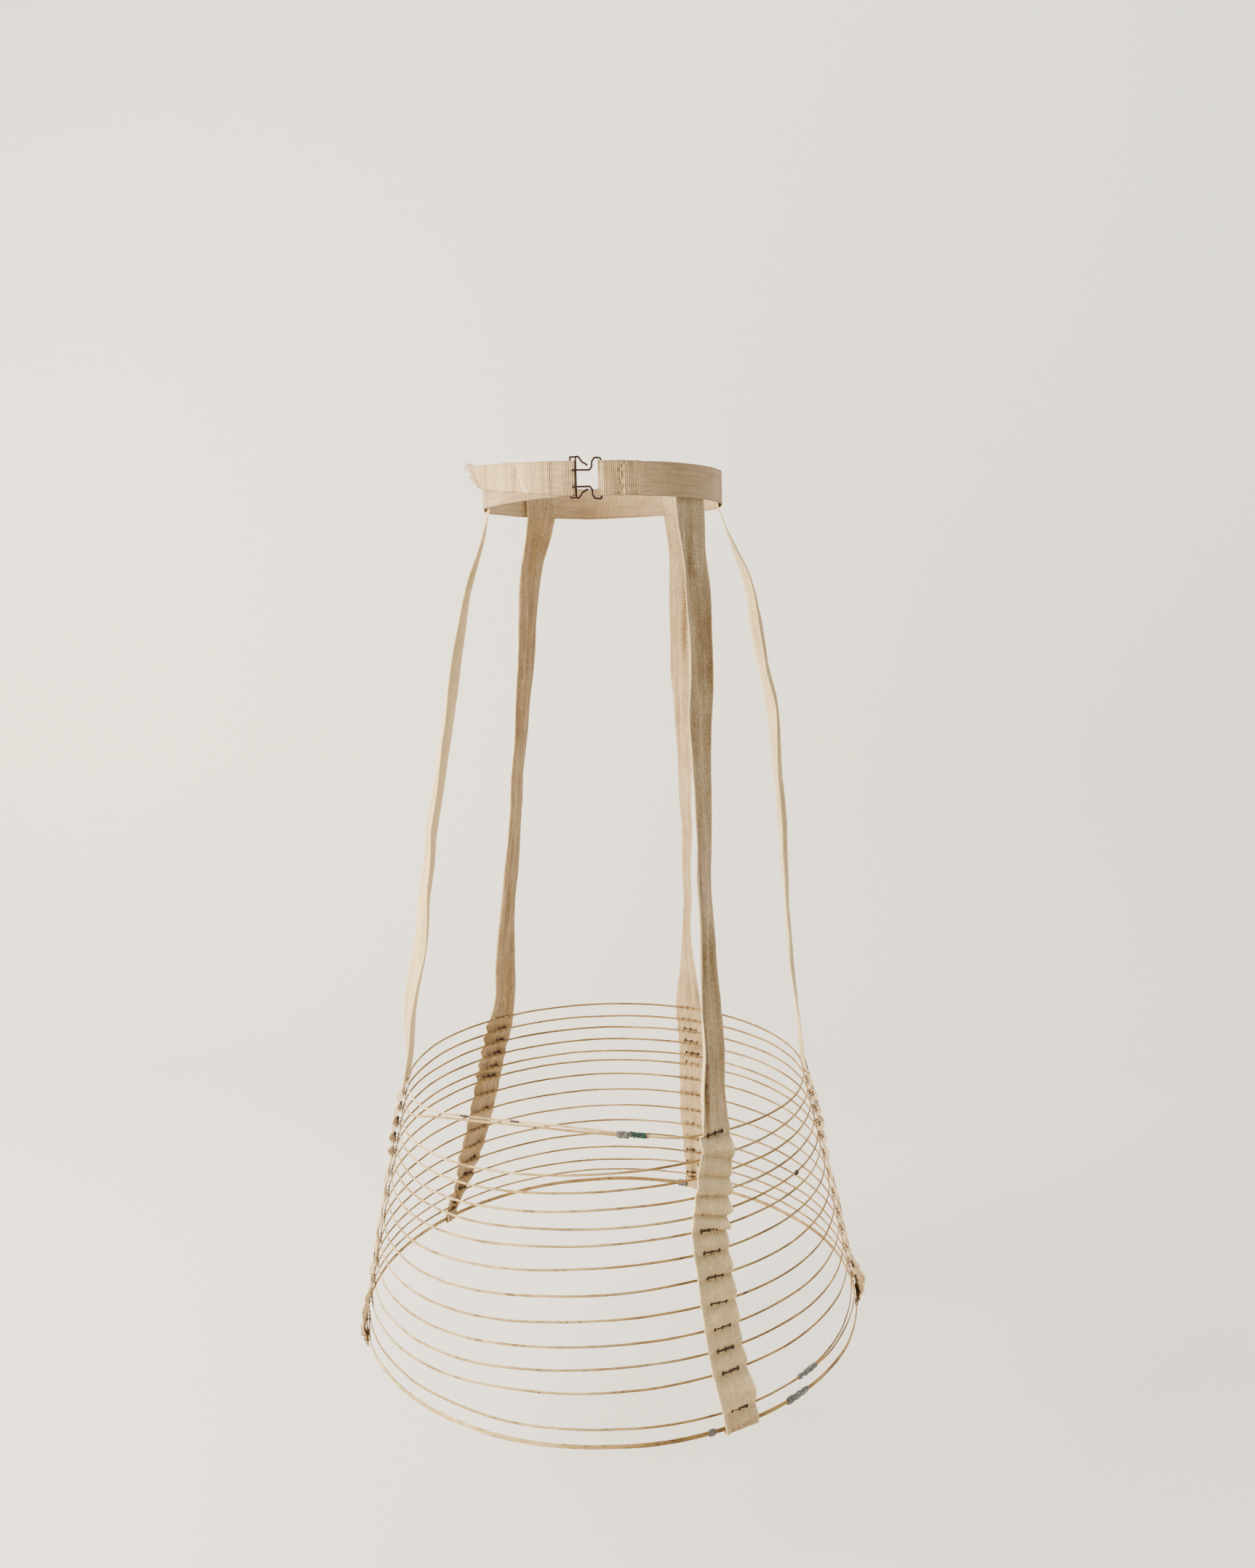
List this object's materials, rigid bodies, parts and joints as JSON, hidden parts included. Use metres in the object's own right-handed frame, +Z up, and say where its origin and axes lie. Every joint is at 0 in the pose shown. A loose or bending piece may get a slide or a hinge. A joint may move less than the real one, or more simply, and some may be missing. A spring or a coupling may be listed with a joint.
{
  "type": "crinoline cage",
  "caption": "Open cage crinoline: oval waist tape with wire clasp, cotton tapes, and stapled rows of covered steel wire in a cone.",
  "frame": {"origin": "middle of the waist loop, level with the middle of the waistband", "axes": "+Z up, -Y towards the wearer's front, +X towards the wearer's left"},
  "size_m": [0.4801, 0.4776, 0.806],
  "materials": {
    "tape_cotton": "unbleached cotton twill tape, aged",
    "waist_cotton": "unbleached cotton tape, aged",
    "covered_steel": "flat spring steel in a cream cotton and paper cover, worn and rust specked",
    "clasp_wire": "browned steel wire",
    "staple_steel": "dark rusted steel",
    "crimp_metal": "dull grey tinned sheet",
    "binding_wire": "copper wire gone green"
  },
  "bodies": {
    "root": {"waistband": "waist_cotton", "waist_slide": "clasp_wire", "waist_hook": "clasp_wire", "top_hoop": "covered_steel", "hoop_14": "covered_steel", "bottom_hoop": "covered_steel", "front_ferrule": "crimp_metal", "front_binding": "binding_wire", "hoop_14_clip": "crimp_metal", "bottom_hoop_clip": "crimp_metal", "row_5_clip": "staple_steel", "front_sleeve": "crimp_metal", "back_sleeve": "crimp_metal", "right_sleeve": "staple_steel", "spiral_turn_1": "covered_steel", "spiral_turn_2": "covered_steel", "spiral_turn_3": "covered_steel", "spiral_turn_4": "covered_steel", "spiral_turn_5": "covered_steel", "spiral_turn_6": "covered_steel", "spiral_turn_7": "covered_steel", "spiral_turn_8": "covered_steel", "spiral_turn_9": "covered_steel", "spiral_turn_10": "covered_steel", "spiral_turn_11": "covered_steel", "spiral_turn_12": "covered_steel", "tape_left": "tape_cotton", "staples_left": "staple_steel", "tape_back_left": "tape_cotton", "staples_back_left": "staple_steel", "tape_back_right": "tape_cotton", "staples_back_right": "staple_steel", "tape_right": "tape_cotton", "staples_right": "staple_steel", "tape_front_right": "tape_cotton", "staples_front_right": "staple_steel"}
  },
  "joints": []
}
